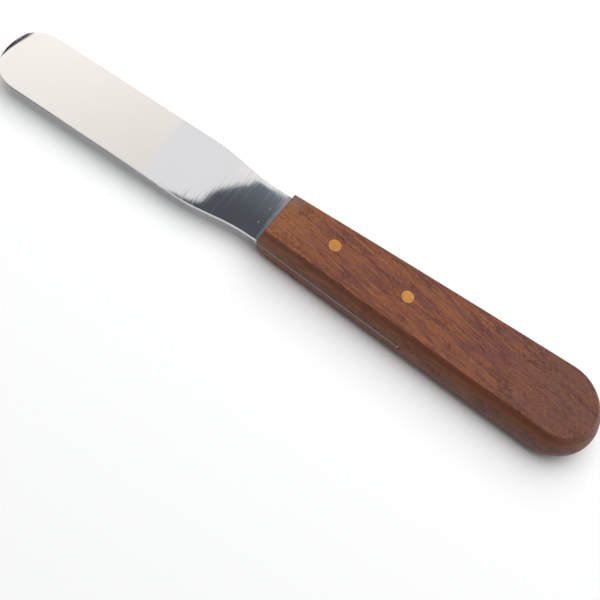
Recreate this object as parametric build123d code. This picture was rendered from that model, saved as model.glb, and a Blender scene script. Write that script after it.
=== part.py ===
from build123d import *
import math
import os

# Lab spatula: a polished steel blade whose flat tang sits in a saw kerf in a one-piece
# hardwood handle and is held by two brass pins ground flush with the wood.
# Millimetres. X runs from the blade's tip to the butt of the handle, Y across, Z up.
# The origin is under the middle of the spatula, on the surface that it lies on.

# Driving dimensions of the blade
blade_length = 100.0        # from the wood to the tip
tip_width = 24.2            # where the rounding of the tip begins
heel_width = 25.2           # widest place, just ahead of the shoulders
neck_width = 20.0           # where the blade enters the wood
neck_offset = 0.6           # the neck lies this far off the handle's centre line, and the tip on it
tip_nose_radius = 22.0      # flat curve across the end
tip_corner_radius = 9.5     # rounder curve from there into the far side
neck_length = 5.5           # parallel stretch against the wood
shoulder_length = 24.0      # long double curve from the neck out to the heel
tip_thickness = 0.50        # where the polished fall of the tip begins
tip_edge_thickness = 0.20   # at the very end
tip_fall_length = 3.0       # both faces curve in towards the edge over this length
heel_thickness = 0.68       # where the straight taper to the tip begins
hollow_length = 43.0        # from the wood to there, the faces are ground to one long hollow

# Driving dimensions of the tang, which is as thick as the neck
tang_length = 54.5
tang_thickness = 1.20
tang_corner_radius = 1.0

# Driving dimensions of the handle
handle_length = 122.0
handle_thickness = 13.6
front_flat_width = 16.4     # flat top and bottom faces, at the rough front end
butt_flat_width = 25.2      # the same faces, at the centre of the butt's curve
butt_flat_depth = 12.6      # length of the curve that ends each flat face
butt_flat_setback = 3.9     # from the end of the handle to the end of the flats
front_waist_width = 20.0    # widest level, half way up, at the rough front end
butt_waist_width = 31.3
butt_waist_depth = 15.6
side_bow = 0.3              # each side swells this much at the middle of its length
saw_allowance = 2.0         # the rough front end is this much longer than the sawn one
front_skew = 3.9            # degrees that the saw ran out of square, seen from above
front_lean = 4.7            # degrees that it leaned back
chin_length = 6.5           # the lower front edge is sanded round, this far back
chin_land = 0.2             # and up to this far below the tang
ridge_radius = 0.35         # sanded edge between each flat and the rounded side
kerf_clearance = 0.02       # on each face of the tang

# Driving dimensions of the pins
pin_diameter = 4.2
front_pin_setback = 20.4    # from the front of the handle
rear_pin_margin = 6.5       # from the end of the tang
front_pin_offset = 0.9      # the front hole was drilled this far off the centre line
pin_clearance = 0.02        # on the radius of each pin

# Places that follow from them
tip_x = -(blade_length + handle_length) / 2
front_x = tip_x + blade_length
butt_x = front_x + handle_length
mid_z = handle_thickness / 2
chin_height = mid_z - tang_thickness / 2 - chin_land
pin_places = {
    "rivet_front": (front_x + front_pin_setback, front_pin_offset),
    "rivet_rear": (front_x + tang_length - rear_pin_margin, 0.0),
}


# the front of the wood: it faces the butt, and runs a little out of square both ways
saw_cut = Plane(Pos(front_x, 0, mid_z) * Rot(0, 0, -front_skew) * Rot(0, 90 + front_lean, 0))


def handle_outline(front_width, butt_width, butt_depth, end_x, z):
    """Level outline: a square rough front, and two bowed sides that run tangent into an elliptical butt."""
    rough_x = front_x - saw_allowance
    centre_x = end_x - butt_depth
    half_front = front_width / 2
    half_butt = butt_width / 2
    # drawn with the ellipse stretched to a circle, where a tangent from the front corner is simple
    corner_x = (rough_x - centre_x) * half_butt / butt_depth
    corner_reach = math.hypot(corner_x, half_front)
    corner_angle = math.atan2(half_front, corner_x)
    straight_angle = corner_angle - math.acos(half_butt / corner_reach)
    # an arc swells by a quarter of its length times the angle between its end and its chord
    touch_angle = straight_angle - 4 * side_bow / corner_reach
    touch_x = centre_x + butt_depth * math.cos(touch_angle)
    touch_y = half_butt * math.sin(touch_angle)
    along_x = -butt_depth * math.sin(touch_angle)
    along_y = half_butt * math.cos(touch_angle)
    with BuildSketch(Plane.XY.offset(z)) as outline:
        with BuildLine():
            Line((rough_x, -half_front), (rough_x, half_front))
            TangentArc((touch_x, touch_y), (rough_x, half_front), tangent=(along_x, along_y))
            EllipticalCenterArc(
                (centre_x, 0), butt_depth, half_butt,
                start_angle=-math.degrees(touch_angle), arc_size=2 * math.degrees(touch_angle),
            )
            TangentArc((touch_x, -touch_y), (rough_x, -half_front), tangent=(along_x, -along_y))
        make_face()
    return outline.sketch


def lower_front_edge():
    """What the sander takes off the lower front edge, seen from the side."""
    centre_x = front_x + chin_length
    with BuildSketch(Plane.XZ) as waste:
        with Locations((centre_x, chin_height)):
            Rectangle(2 * chin_length, chin_height, align=(Align.MAX, Align.MAX))
            Ellipse(chin_length, chin_height, mode=Mode.SUBTRACT)
    return extrude(waste.sketch, amount=butt_waist_width, both=True)


def handle_blank():
    """The shaped handle before it is slotted and drilled: flat above and below, rounded at its sides."""
    flat_end_x = butt_x - butt_flat_setback
    flat = (front_flat_width, butt_flat_width, butt_flat_depth, flat_end_x)
    waist = (front_waist_width, butt_waist_width, butt_waist_depth, butt_x)
    levels = [
        handle_outline(*flat, 0),
        handle_outline(*waist, mid_z),
        handle_outline(*flat, handle_thickness),
    ]
    blank = loft([level.face() for level in levels])
    flats = blank.faces().filter_by(Axis.Z)
    ridges = [
        edge for edge in flats.edges()
        if edge.center().X > front_x
    ]
    blank = split(fillet(ridges, ridge_radius), bisect_by=saw_cut, keep=Keep.TOP)
    return blank - lower_front_edge()


def blade_plan():
    """The blade seen from above, drawn one neck length past the wood, where it is trimmed later."""
    root_x = front_x + neck_length
    neck_x = front_x - neck_length
    heel_x = neck_x - shoulder_length
    half_neck = neck_width / 2
    half_heel = heel_width / 2
    half_tip = tip_width / 2
    nose_drop = tip_nose_radius - math.sqrt(tip_nose_radius**2 - half_tip**2)
    with BuildSketch() as plan:
        with BuildLine():
            Line((root_x, 0), (root_x, half_neck))
            Line((root_x, half_neck), (neck_x, half_neck))
            Spline((neck_x, half_neck), (heel_x, half_heel), tangents=((-1, 0), (-1, 0)))
            Line((heel_x, half_heel), (tip_x + nose_drop, half_tip))
            RadiusArc((tip_x + nose_drop, half_tip), (tip_x, 0), -tip_nose_radius)
            mirror(about=Plane.XZ)
        make_face()
        far_corner = plan.vertices().sort_by_distance((tip_x + nose_drop, half_tip))[0]
        fillet(far_corner, tip_corner_radius)
    return plan.sketch


def blade_profile():
    """The blade seen from the side: a long hollow from the thick neck, and then a thin straight taper."""
    root_x = front_x + neck_length
    taper_x = front_x - hollow_length
    fall_x = tip_x + tip_fall_length
    with BuildSketch(Plane.XZ) as profile:
        with BuildLine():
            Line((root_x, 0), (root_x, tang_thickness / 2))
            Line((root_x, tang_thickness / 2), (front_x, tang_thickness / 2))
            taper = Line((taper_x, heel_thickness / 2), (fall_x, tip_thickness / 2))
            TangentArc((taper_x, heel_thickness / 2), (front_x, tang_thickness / 2), tangent=-(taper % 0))
            TangentArc((fall_x, tip_thickness / 2), (tip_x, tip_edge_thickness / 2), tangent=taper % 1)
            Line((tip_x, tip_edge_thickness / 2), (tip_x, 0))
            mirror(about=Plane.XZ)
        make_face()
    return profile.sketch


def blade_and_tang(blank):
    """One piece of steel: the ground blade, and a flat tang trimmed flush with the handle's sides."""
    blade = extrude(blade_plan(), amount=tang_thickness, both=True)
    blade &= extrude(blade_profile(), amount=heel_width, both=True)
    # turned about its tip, and trimmed where the wood begins
    askew = math.degrees(math.atan2(neck_offset, blade_length))
    blade = Pos(tip_x, 0, mid_z) * Rot(0, 0, askew) * Pos(-tip_x, 0, 0) * blade
    blade = split(blade, bisect_by=saw_cut, keep=Keep.BOTTOM)
    tang = Pos(front_x, 0, mid_z) * Box(2 * tang_length, butt_waist_width, tang_thickness)
    steel = blade + (tang & blank)
    tang_end = steel.faces().sort_by(Axis.X)[-1]
    tang_corners = tang_end.edges().sort_by(SortBy.LENGTH)[:2]
    steel = fillet(tang_corners, tang_corner_radius)
    for x, y in pin_places.values():
        steel -= Pos(x, y, mid_z) * Cylinder(pin_diameter / 2 + pin_clearance, handle_thickness)
    return steel


def slotted_handle(blank):
    """The blank with its saw kerf, which opens at the front and both sides, and its two pin holes."""
    kerf_end = tang_length + kerf_clearance
    kerf = Box(2 * kerf_end, butt_waist_width, tang_thickness + 2 * kerf_clearance)
    handle = blank - Pos(front_x, 0, mid_z) * kerf
    for x, y in pin_places.values():
        handle -= Pos(x, y, mid_z) * Cylinder(pin_diameter / 2 + pin_clearance, 2 * handle_thickness)
    return handle


def pin(x, y):
    """A brass pin as long as the handle is thick, ground flush at both ends."""
    return Pos(x, y, mid_z) * Cylinder(pin_diameter / 2, handle_thickness)


blank = handle_blank()
pieces = {
    "blade": blade_and_tang(blank),
    "handle": slotted_handle(blank),
}
for name, (x, y) in pin_places.items():
    pieces[name] = pin(x, y)

os.makedirs("parts", exist_ok=True)
for name, piece in pieces.items():
    export_step(piece, f"parts/{name}.step")
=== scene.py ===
import math

import bmesh
import bpy
from mathutils import Matrix, Vector
from mathutils.bvhtree import BVHTree
from mathutils.geometry import barycentric_transform


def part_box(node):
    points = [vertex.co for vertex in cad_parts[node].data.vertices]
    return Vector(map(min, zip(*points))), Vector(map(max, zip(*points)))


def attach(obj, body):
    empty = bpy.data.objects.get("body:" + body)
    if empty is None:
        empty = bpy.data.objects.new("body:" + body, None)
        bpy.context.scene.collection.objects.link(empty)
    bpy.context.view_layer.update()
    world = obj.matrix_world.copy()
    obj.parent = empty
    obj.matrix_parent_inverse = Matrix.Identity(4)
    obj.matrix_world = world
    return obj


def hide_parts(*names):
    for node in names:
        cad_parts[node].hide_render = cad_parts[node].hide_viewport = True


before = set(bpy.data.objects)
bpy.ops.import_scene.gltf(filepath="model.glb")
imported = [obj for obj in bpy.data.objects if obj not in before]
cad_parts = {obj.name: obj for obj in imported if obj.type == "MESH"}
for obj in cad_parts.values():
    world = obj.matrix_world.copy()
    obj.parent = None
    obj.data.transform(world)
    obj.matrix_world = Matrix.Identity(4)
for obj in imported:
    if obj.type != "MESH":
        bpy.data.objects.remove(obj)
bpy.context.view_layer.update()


# The table is a sheet of white card in a white room. A broad soft light hangs behind and above the
# spatula, so its short shadow falls towards the viewer. A grey flag behind the viewer and four
# tinted cards overhead are there to be mirrored in the steel.
class Socket:
    """An output of a shader node. Sums on it add Math nodes, and node() adds any other node."""

    def __init__(self, output):
        self.output = output
        self.tree = output.id_data

    def node(self, kind, settings=None, inputs=None, out=0):
        """Adds a node to the same tree: first its settings, then the values or links of its sockets."""
        made = self.tree.nodes.new(kind)
        for key, value in (settings or {}).items():
            setattr(made, key, value)
        for key, value in (inputs or {}).items():
            if isinstance(value, Socket):
                self.tree.links.new(value.output, made.inputs[key])
            else:
                made.inputs[key].default_value = value
        return Socket(made.outputs[out])

    def sum_with(self, operation, one, other):
        return self.node("ShaderNodeMath", {"operation": operation}, {0: one, 1: other})

    def __add__(self, other):
        return self.sum_with("ADD", self, other)

    def __radd__(self, other):
        return self.sum_with("ADD", other, self)

    def __sub__(self, other):
        return self.sum_with("SUBTRACT", self, other)

    def __rsub__(self, other):
        return self.sum_with("SUBTRACT", other, self)

    def __mul__(self, other):
        return self.sum_with("MULTIPLY", self, other)

    def __rmul__(self, other):
        return self.sum_with("MULTIPLY", other, self)

    def __pow__(self, other):
        return self.sum_with("POWER", self, other)

    def at_least(self, other):
        return self.sum_with("MAXIMUM", self, other)

    def rise(self, low, high):
        """0 below low and 1 above high, with a smooth rise between them."""
        return self.node(
            "ShaderNodeMapRange", {"interpolation_type": "SMOOTHSTEP"},
            {"Value": self, "From Min": low, "From Max": high},
        )

    def fall(self, low, high):
        """1 below low and 0 above high."""
        return 1 - self.rise(low, high)

    def parts(self):
        """The X, Y and Z of a vector."""
        split = self.node("ShaderNodeSeparateXYZ", inputs={0: self}).output.node
        return [Socket(output) for output in split.outputs]

    def scaled(self, factors):
        return self.node("ShaderNodeVectorMath", {"operation": "MULTIPLY"}, {0: self, 1: factors})

    def shifted(self, offset):
        return self.node("ShaderNodeVectorMath", {"operation": "ADD"}, {0: self, 1: offset})

    def turned(self, angle):
        """A vector turned about Z."""
        return self.node(
            "ShaderNodeVectorRotate", {"rotation_type": "Z_AXIS"}, {"Vector": self, "Angle": angle},
        )

    def noise(self, sizes, detail=2.0, roughness=0.5):
        """Soft noise from 0 to 1, with these sizes of its blotches along X, Y and Z."""
        return self.node(
            "ShaderNodeTexNoise", inputs={
                "Vector": self.scaled([1 / size for size in sizes]), "Scale": 1.0,
                "Detail": detail, "Roughness": roughness,
            },
        )

    def mix(self, one, other):
        """From one colour to the other as this mask goes from 0 to 1. Sockets 6 and 7 hold colours."""
        return self.node(
            "ShaderNodeMix", {"data_type": "RGBA"}, {"Factor": self, 6: one, 7: other}, out=2,
        )

    def glow(self, colour, strength=1.0):
        return self.node("ShaderNodeEmission", inputs={"Color": colour, "Strength": strength})


def shade(red, green, blue):
    """A colour as it shows on a screen, from 0 to 255, in the linear values that shaders use."""
    channels = [
        (value / 255 / 12.92) if value <= 10 else ((value / 255 + 0.055) / 1.055) ** 2.4
        for value in (red, green, blue)
    ]
    return (*channels, 1)


def start_material(name):
    """A bare node material, and the shaded point's place in the part's frame in millimetres."""
    material = bpy.data.materials.new(name)
    material.use_nodes = True
    material.node_tree.nodes.clear()
    place = Socket(material.node_tree.nodes.new("ShaderNodeTexCoord").outputs["Object"])
    return material, place.scaled((1000, 1000, 1000))


def finish_material(material, shader, *objects):
    """Joins the shader to the material's output and gives the material to the objects."""
    output = material.node_tree.nodes.new("ShaderNodeOutputMaterial")
    material.node_tree.links.new(shader.output, output.inputs["Surface"])
    for thing in objects:
        thing.data.materials.clear()
        thing.data.materials.append(material)


def shown(tree):
    """1 on rays from the camera, off a gloss and through glass, and 0 on those that light things."""
    rays = tree.nodes.new("ShaderNodeLightPath").outputs
    names = ("Is Camera Ray", "Is Glossy Ray", "Is Transmission Ray")
    camera_ray, glossy_ray, glass_ray = [Socket(rays[name]) for name in names]
    return camera_ray.at_least(glossy_ray).at_least(glass_ray)


def studio_sheet(name, corners):
    """A flat sheet of the studio, from its corners in metres."""
    mesh = bpy.data.meshes.new(name)
    mesh.from_pydata(corners, [], [range(len(corners))])
    sheet = bpy.data.objects.new(name, mesh)
    bpy.context.scene.collection.objects.link(sheet)
    return sheet


def mirrored_card(name, outline, height):
    """A level card overhead, from millimetres, that shows in mirrors alone and throws no shadow."""
    card = studio_sheet(name, [(x / 1000, y / 1000, height / 1000) for x, y in outline])
    card.visible_camera = False
    card.visible_diffuse = False
    card.visible_shadow = False
    return card


floor_half = 1.6
floor = studio_sheet("floor", [
    (-floor_half, -floor_half, 0), (floor_half, -floor_half, 0),
    (floor_half, floor_half, 0), (-floor_half, floor_half, 0),
])
material, place = start_material("white_card")
card_glow = 0.045
paper = place.node("ShaderNodeBsdfPrincipled", inputs={
    "Base Color": (0.94, 0.94, 0.94, 1), "Roughness": 0.95, "Specular IOR Level": 0.2,
})
lifted = place.node("ShaderNodeAddShader", inputs={0: paper, 1: place.glow((0.93, 0.97, 1.0, 1), card_glow)})
card = place.node("ShaderNodeMixShader", inputs={0: shown(place.tree), 1: paper, 2: lifted})
finish_material(material, card, floor)

world = bpy.data.worlds.new("white_room")
world.use_nodes = True
world.node_tree.nodes.clear()
seen = shown(world.node_tree)
room_light = 0.06
room = seen.node("ShaderNodeBackground", inputs={
    "Color": seen.mix((0.88, 0.94, 1.0, 1), (1, 1, 1, 1)),
    "Strength": room_light + seen * (1 - room_light),
})
world_output = world.node_tree.nodes.new("ShaderNodeOutputWorld")
world.node_tree.links.new(room.output, world_output.inputs["Surface"])
bpy.context.scene.world = world

softbox_data = bpy.data.lights.new("softbox", "AREA")
softbox_data.shape = "RECTANGLE"
softbox_data.size = 1.8
softbox_data.size_y = 2.0
softbox_data.energy = 26.8
softbox = bpy.data.objects.new("softbox", softbox_data)
bpy.context.scene.collection.objects.link(softbox)
softbox.location = (0.0, 0.70, 1.0)
softbox.visible_glossy = False

flag_half = 0.9
flag_y = -0.75
flag_foot = 0.02
flag_top = 0.6
flag = studio_sheet("grey_flag", [
    (-flag_half, flag_y, flag_foot), (flag_half, flag_y, flag_foot),
    (flag_half, flag_y, flag_top), (-flag_half, flag_y, flag_top),
])
flag.visible_camera = False
flag.visible_shadow = False
material, place = start_material("grey_flag")
finish_material(material, place.glow((0.04, 0.04, 0.042, 1)), flag)

# The cards lie where the blade mirrors them. The cream one and the grey one meet at a slant, and
# the two dark ones hang a little lower, so that they cover them.
card_height = 400
dark_card_height = 396
near_side, far_side = 100, 330
seam_near, seam_far = -141, -144
cream_end, grey_end = -420, 60
cream_outline = [(cream_end, near_side), (seam_near, near_side), (seam_far, far_side), (cream_end, far_side)]
cream_card = mirrored_card("cream_card", cream_outline, card_height)
material, place = start_material("cream_card")
x, y, z = place.parts()
towards_tip = (-1 * x).rise(110, 290)
towards_far = y.rise(195, 280)
cream = (towards_tip * 0.7 + towards_far * 0.3).mix(shade(226, 220, 215), shade(255, 249, 244))
finish_material(material, place.glow(cream), cream_card)

grey_outline = [(seam_near, near_side), (grey_end, near_side), (grey_end, far_side), (seam_far, far_side)]
grey_card = mirrored_card("grey_card", grey_outline, card_height)
material, place = start_material("grey_card")
x, y, z = place.parts()
far_strip = x.rise(-95, -80) * y.rise(252, 258)
grey = far_strip.mix(shade(225, 224, 226), shade(233, 230, 231))
finish_material(material, place.glow(grey), grey_card)

dark_outline = [
    (-119, 206), (-110, 208), (-104, 209), (-98, 212), (-95, 216), (-94, 223), (-91, 231), (-86, 238),
    (-81, 244), (-75, 250), (-72, 257), (20, 264), (20, 120), (-119, 120),
]
dark_card = mirrored_card("dark_card", dark_outline, dark_card_height)
material, place = start_material("dark_card")
x, y, z = place.parts()
dark = y.rise(222, 258).mix(shade(74, 77, 83), shade(98, 104, 113))
finish_material(material, place.glow(dark), dark_card)

# This one shows only in the polished fall of the tip. It has a grey rim and one maroon end.
tip_outline = [
    (-600, 270), (-276, 262), (-280, 253), (-303, 250), (-328, 248), (-338, 242), (-350, 224), (-600, 200),
]
rim_x, rim_y = -276, 258
rim_slope = 3.7
tip_card = mirrored_card("tip_card", tip_outline, dark_card_height)
material, place = start_material("tip_card")
x, y, z = place.parts()
rim = (x - rim_x + (rim_y - y) * rim_slope).rise(-24, -10)
dark = rim.mix(shade(44, 54, 66), shade(150, 130, 136))
dark = y.rise(257, 261).mix(dark, shade(84, 48, 54))
finish_material(material, place.glow(dark), tip_card)


# The blade is one strip of stainless steel. It is ground to a long hollow ahead of the wood, then
# thin and springy out to a tip that is ground round here, and polished on a wheel that leaves fine
# cross lines. Its tang is sanded flush with the handle's sides and stained there.
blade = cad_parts["blade"]
wood_front = 1000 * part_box("handle")[0].x
tip = 1000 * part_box("blade")[0].x
tang_end = 1000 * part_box("blade")[1].x
z_middle = 500 * (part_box("blade")[0].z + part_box("blade")[1].z)
nose_radius = 22.0
corner_radius = 9.5
tip_half_width = 12.1
blade_length = 100.0
neck_offset = 0.6
askew = math.atan2(neck_offset, blade_length)

# What the wheel takes off is all that lies outside the curve of the nose and the two of its corners.
# Each curve has its centre, its radius, its first and last angle, and its steps.
trim = 0.05
corner_steps = 16
nose_steps = 24
corner_y = tip_half_width - corner_radius
corner_x = nose_radius - math.sqrt((nose_radius - corner_radius) ** 2 - corner_y ** 2)
nose_half_angle = math.asin(corner_y / (nose_radius - corner_radius))
nose_start = math.pi + nose_half_angle
nose_end = math.pi - nose_half_angle
curves = [
    (corner_x, -corner_y, corner_radius, 1.5 * math.pi, nose_start, corner_steps),
    (nose_radius, 0, nose_radius, nose_start, nose_end, nose_steps),
    (corner_x, corner_y, corner_radius, nose_end, 0.5 * math.pi, corner_steps),
]
beyond = 2 * tip_half_width
waste_outline = [(corner_x, beyond), (-beyond, beyond), (-beyond, -beyond), (corner_x, -beyond)]
for middle_x, middle_y, radius, first_angle, last_angle, steps in curves:
    reach = radius - trim
    for step in range(steps):
        angle = first_angle + (last_angle - first_angle) * step / steps
        waste_outline.append((middle_x + reach * math.cos(angle), middle_y + reach * math.sin(angle)))
form = bmesh.new()
for height in (0, 2 * z_middle):
    for out, side in waste_outline:
        form.verts.new(Vector((out, side, height)) / 1000)
form.verts.ensure_lookup_table()
count = len(waste_outline)
below, above = form.verts[:count], form.verts[count:]
form.faces.new(below)
form.faces.new(above)
for at in range(count):
    after = (at + 1) % count
    form.faces.new([below[at], below[after], above[after], above[at]])
bmesh.ops.recalc_face_normals(form, faces=form.faces)
waste_mesh = bpy.data.meshes.new("tip_waste")
form.to_mesh(waste_mesh)
form.free()
tip_waste = bpy.data.objects.new("tip_waste", waste_mesh)
tip_waste.matrix_world = Matrix.Translation((tip / 1000, 0, 0)) @ Matrix.Rotation(askew, 4, "Z")
bpy.context.scene.collection.objects.link(tip_waste)

same_place = 0.000001
crisp_angle = math.radians(25)
form = bmesh.new()
form.from_mesh(blade.data)
bmesh.ops.remove_doubles(form, verts=form.verts, dist=same_place)
blade_mesh = bpy.data.meshes.new("polished_blade")
form.to_mesh(blade_mesh)
form.free()
polished_blade = bpy.data.objects.new("polished_blade", blade_mesh)
bpy.context.scene.collection.objects.link(polished_blade)
grinding = polished_blade.modifiers.new("grinding", "BOOLEAN")
grinding.operation = "DIFFERENCE"
grinding.object = tip_waste
ground = polished_blade.evaluated_get(bpy.context.evaluated_depsgraph_get())
polished_blade.data = bpy.data.meshes.new_from_object(ground)
polished_blade.modifiers.clear()
bpy.data.objects.remove(tip_waste)
polished_blade.data.shade_smooth()
polished_blade.data.set_sharp_from_angle(angle=crisp_angle)

# The broad faces keep the exact normals of the blade before grinding, so the mirror has no facets.
near_level = 0.9
unground = blade.data
unground.calc_loop_triangles()
broad = [triangle for triangle in unground.loop_triangles if abs(triangle.normal.z) > near_level]
spots = [vertex.co for vertex in unground.vertices]
broad_faces = BVHTree.FromPolygons(spots, [triangle.vertices for triangle in broad])
leaning = [Vector((0, 0, 0)) for corner in polished_blade.data.loops]
for face in polished_blade.data.polygons:
    if abs(face.normal.z) > near_level:
        for corner in face.loop_indices:
            spot = polished_blade.data.vertices[polished_blade.data.loops[corner].vertex_index].co
            triangle = broad[broad_faces.find_nearest(spot)[2]]
            ends = [spots[vertex] for vertex in triangle.vertices]
            normals = [unground.corner_normals[loop].vector for loop in triangle.loops]
            leaning[corner] = barycentric_transform(spot, *ends, *normals).normalized()
polished_blade.data.normals_split_custom_set(leaning)
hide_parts("blade")
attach(polished_blade, "root")

material, place = start_material("polished_steel")
x, y, z = place.parts()
cross_lines = place.noise((0.45, 30, 30), detail=3.0, roughness=0.7)
wheel_marks = place.noise((1.6, 22, 22), detail=2.0)
soft_waves = place.noise((9, 16, 16), detail=1.0)
bump = place.node("ShaderNodeBump", inputs={
    "Strength": 1.0, "Distance": 0.000001,
    "Height": cross_lines * 2.0 + wheel_marks * 1.7 + soft_waves * 2.0,
})
upward_face = place.node("ShaderNodeTexCoord", out="Normal").parts()[2]
edge_wall = (upward_face ** 2).fall(0.3, 0.7)
front_skew = math.tan(math.radians(3.9))
front_setback = 0.75
from_wood = x - wood_front - front_setback - y * front_skew
in_the_wood = from_wood.rise(0.1, 0.25)
smudge = place.noise((0.7, 2.5, 2.5), detail=3.0, roughness=0.7)
unpolished = (from_wood + (smudge - 0.5) * 1.6).rise(-1.7, -0.9)
dulled = (from_wood + (wheel_marks - 0.5) * 8.0).rise(-7.5, -1.0)
worn = unpolished
specks = [(-14.1, 2.65, 0.3), (-22.6, 4.1, 0.2), (-14.7, -3.6, 0.4)]
for speck_x, speck_y, speck_radius in specks:
    reach_squared = (x - speck_x) ** 2 + (y - speck_y) ** 2
    worn = worn.at_least(reach_squared.fall(speck_radius ** 2 * 0.3, speck_radius ** 2))

# Ahead of the wood the steel is bright, with dull specks and a dull band against the wood. The walls
# of its edges are ground but not polished, and their colour is a painted reflection, purple-grey at
# the tip and whitening towards the wood. The tang's edges show in the sides of the handle.
bright_steel = (0.95, 0.95, 0.95, 1)
dull_steel = shade(200, 202, 208)
edge_grey = shade(140, 134, 142)
edge_white = shade(226, 224, 225)
bare_tang = shade(128, 120, 110)
stained_tang = shade(84, 52, 40)
painted_end_glint = shade(226, 216, 204)
# Painted reflection on the edge walls, grey near the tip and white towards the wood.
painted_edge_reflection = x.rise(tip + 45, tip + 70).mix(edge_grey, edge_white)
metal_colour = edge_wall.mix(unpolished.mix(bright_steel, dull_steel), painted_edge_reflection)
smeared = ((z - z_middle) ** 2).rise(0.10, 0.20)
# Painted glint: the last bit of the tang's edge is painted bright, where a point of light shows.
glint_end = x.rise(tang_end - 0.8, tang_end - 0.6)
side_colour = glint_end.mix(smeared.mix(bare_tang, stained_tang), painted_end_glint)
roughness = 0.03 + cross_lines.rise(0.50, 0.75) * 0.09 + dulled * 0.02 + worn * 0.12 + edge_wall * 0.2
steel = place.node("ShaderNodeBsdfPrincipled", inputs={
    "Base Color": in_the_wood.mix(metal_colour, side_colour),
    "Metallic": 1 - in_the_wood * 0.7,
    "Roughness": roughness,
    "Normal": bump,
})
finish_material(material, steel, polished_blade)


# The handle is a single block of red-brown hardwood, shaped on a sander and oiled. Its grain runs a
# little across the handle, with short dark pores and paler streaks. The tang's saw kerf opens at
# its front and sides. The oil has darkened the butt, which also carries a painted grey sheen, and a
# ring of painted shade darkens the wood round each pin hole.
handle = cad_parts["handle"]
material, place = start_material("oiled_hardwood")
x, y, z = place.parts()
butt = 1000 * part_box("handle")[1].x
top = 1000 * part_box("handle")[1].z
grain_angle = math.radians(10)
sway = place.noise((34, 12, 12), detail=2.0)
swayed = place.node("ShaderNodeCombineXYZ", inputs={0: 0.0, 1: (sway - 0.5) * 5.0, 2: (sway - 0.5) * 2.0})
grain = place.turned(grain_angle).shifted(swayed)
clouds = grain.noise((15, 4.5, 4.5), detail=3.0)
streaks = grain.noise((11, 0.9, 0.9), detail=3.0, roughness=0.6)
fibres = grain.noise((4.5, 0.2, 0.2), detail=2.0)
pores = grain.noise((1.5, 0.48, 0.48), detail=2.0, roughness=0.6)
pore_beds = grain.noise((9, 3.2, 3.2), detail=2.0)
mottle = place.noise((1.6, 1.4, 1.4), detail=3.0, roughness=0.65)
fine_mottle = place.noise((0.8, 0.8, 0.8), detail=2.0)
red_brown = shade(106, 58, 44)
warm_brown = shade(122, 70, 42)
orange_brown = shade(140, 82, 44)
front_orange = shade(146, 90, 50)
deep_brown = shade(74, 40, 34)
pore_and_gap_shade_brown = shade(58, 33, 36)
butt_dark_and_sheen = shade(84, 54, 49)
butt_orange = shade(122, 72, 46)
worn_and_sheen_grey = shade(112, 92, 84)
colour = clouds.rise(0.42, 0.60).mix(red_brown, warm_brown)
colour = (streaks.rise(0.50, 0.66) * 0.8).mix(colour, orange_brown)
colour = (streaks.fall(0.34, 0.48) * 0.6).mix(colour, deep_brown)
near_front = (x + (clouds - 0.5) * 16).fall(wood_front + 4, wood_front + 22)
colour = (near_front * 0.6).mix(colour, front_orange)
# Towards the butt the wood is darker, with a painted grey sheen mixed into its colour.
near_butt = (x + (clouds - 0.5) * 30).rise(butt - 62, butt - 6)
colour = (near_butt * 0.6).mix(colour, butt_dark_and_sheen)
colour = (near_butt * mottle.rise(0.45, 0.65) * 0.45).mix(colour, butt_orange)
pore_mask = (pores + (pore_beds - 0.5) * 0.5).rise(0.50, 0.64)
colour = (pore_mask * 0.5).mix(colour, pore_and_gap_shade_brown)
colour = (fibres.fall(0.30, 0.50) * 0.25).mix(colour, deep_brown)

# The far front corner of the top carries a painted grey sheen, and the rim of the front is chipped and dark.
corner_reach = (((x - wood_front - 2.8) ** 2) * 0.5 + (y - 7.0) ** 2) ** 0.5
sheen_corner = (corner_reach + (streaks - 0.5) * 3.0).fall(1.2, 3.6)
colour = (sheen_corner * 0.55).mix(colour, worn_and_sheen_grey)

# Below the ridge the side is painted in its own browner, more orange tone, as light falls on it. A band of
# painted shade lies dark under the ridge, and the lowest part is painted lighter and redder, as if lit by
# light bounced up from the floor.
side_lit_brown = shade(134, 76, 34)
ridge_shade_brown = shade(84, 40, 18)
floor_bounce_red = shade(134, 72, 54)
chip_brown = shade(70, 48, 44)
below_ridge = z.fall(top - 0.9, top - 0.3)
# Painted light: the side gets its own tone, apart from the top.
side = below_ridge * z.rise(top - 6.5, top - 0.8)
colour = (side * 0.6).mix(colour, side_lit_brown)
# Painted shade: the band just under the ridge is darkened.
ridge_shade_band = below_ridge * z.rise(top - 2.6, top - 1.2)
colour = (ridge_shade_band * 0.55).mix(colour, ridge_shade_brown)
# Painted light: the part below the middle is lightened and reddened, as if lit from the floor.
floor_lit_side = z.fall(z_middle - 1.2, z_middle - 0.5)
colour = (floor_lit_side * 0.5).mix(colour, floor_bounce_red)
front_lean = math.tan(math.radians(4.7))
from_front = x - wood_front - front_setback - y * front_skew - (z - z_middle) * front_lean
chipped = (from_front + (fine_mottle - 0.5) * 2.6).fall(0.0, 0.5)
colour = (chipped * 0.6).mix(colour, chip_brown)

# Painted shade: a dark ring round each pin hole, where the gap would lie in shade.
rim_width = 0.45
for name in ("rivet_front", "rivet_rear"):
    low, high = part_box(name)
    middle = (low + high) * 500
    pin_radius = 500 * (high.x - low.x)
    reach = ((x - middle.x) ** 2 + (y - middle.y) ** 2) ** 0.5
    colour = (reach.fall(pin_radius, pin_radius + rim_width) * 0.6).mix(colour, pore_and_gap_shade_brown)

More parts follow.
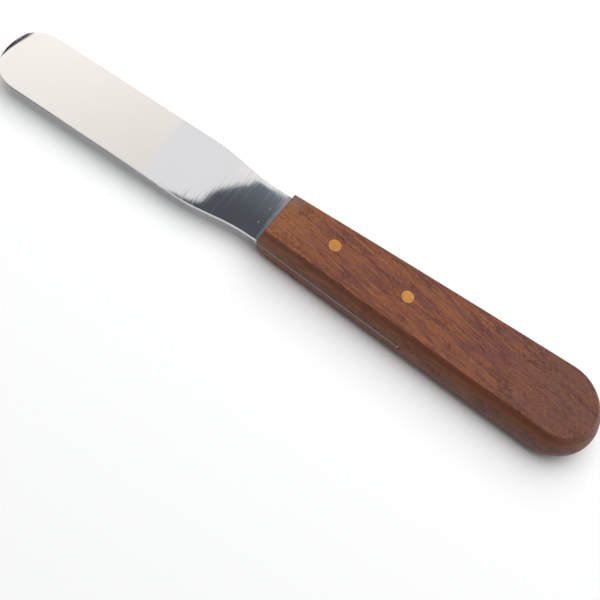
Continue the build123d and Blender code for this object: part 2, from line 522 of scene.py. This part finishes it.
# One light scratch crosses the top near the butt.
scratch_x, scratch_y = butt - 12.5, -0.7
run_x, run_y = 0.90, -0.44
across_scratch = (x - scratch_x) * -run_y + (y - scratch_y) * run_x
along_scratch = (x - scratch_x) * run_x + (y - scratch_y) * run_y
scratch = (across_scratch ** 2).fall(0.005, 0.03)
scratch = scratch * along_scratch.rise(0, 0.8) * along_scratch.fall(2.9, 3.7)
colour = (scratch * 0.6).mix(colour, worn_and_sheen_grey)
relief = place.node("ShaderNodeBump", inputs={
    "Strength": 0.6, "Distance": 0.00006, "Height": fibres * 0.4 - pore_mask * 0.8,
})
wood = place.node("ShaderNodeBsdfPrincipled", inputs={
    "Base Color": colour,
    "Roughness": 0.45 + pore_mask * 0.2,
    "Specular IOR Level": 0.4,
    "Normal": relief,
})
finish_material(material, wood, handle)


# Two solid brass pins go through the wood and the tang. They are ground flush above and below with
# the same belt as the wood, which leaves them satin.
material, place = start_material("satin_brass")
belt_marks = place.turned(grain_angle).noise((3, 0.18, 3), detail=2.0)
tarnish = place.noise((0.7, 0.7, 0.7), detail=2.0)
marks = place.node("ShaderNodeBump", inputs={"Strength": 0.3, "Distance": 0.00001, "Height": belt_marks})
brass = place.node("ShaderNodeBsdfPrincipled", inputs={
    "Base Color": tarnish.rise(0.3, 0.7).mix(shade(202, 142, 80), shade(220, 160, 92)),
    "Metallic": 1.0,
    "Roughness": 0.42,
    "Normal": marks,
})
finish_material(material, brass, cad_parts["rivet_front"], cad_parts["rivet_rear"])


# The camera looks down at the near side, square to the handle, and is rolled so that the spatula
# crosses the picture from the upper left to the lower right.
camera_elevation = math.radians(61.76)
camera_azimuth = math.radians(-0.84)
camera_roll = math.radians(34.31)
camera_distance = 0.3197
aim = Vector((0.00972, -0.01465, 0.0))
picture_width = 600
focal_length_in_pixels = 1015.3
forward = Vector((
    -math.sin(camera_azimuth) * math.cos(camera_elevation),
    math.cos(camera_azimuth) * math.cos(camera_elevation),
    -math.sin(camera_elevation),
))
level = Vector((math.cos(camera_azimuth), math.sin(camera_azimuth), 0))
upward = level.cross(forward)
right = level * math.cos(camera_roll) + upward * math.sin(camera_roll)
up = upward * math.cos(camera_roll) - level * math.sin(camera_roll)
camera_data = bpy.data.cameras.new("camera")
camera_data.sensor_width = 36.0
camera_data.lens = focal_length_in_pixels / picture_width * camera_data.sensor_width
camera_data.clip_start = 0.01
camera = bpy.data.objects.new("camera", camera_data)
bpy.context.scene.collection.objects.link(camera)
axes = Matrix((right, up, -forward)).transposed()
camera.matrix_world = Matrix.Translation(aim - forward * camera_distance) @ axes.to_4x4()
bpy.context.scene.camera = camera
bpy.context.scene.view_settings.view_transform = "Standard"
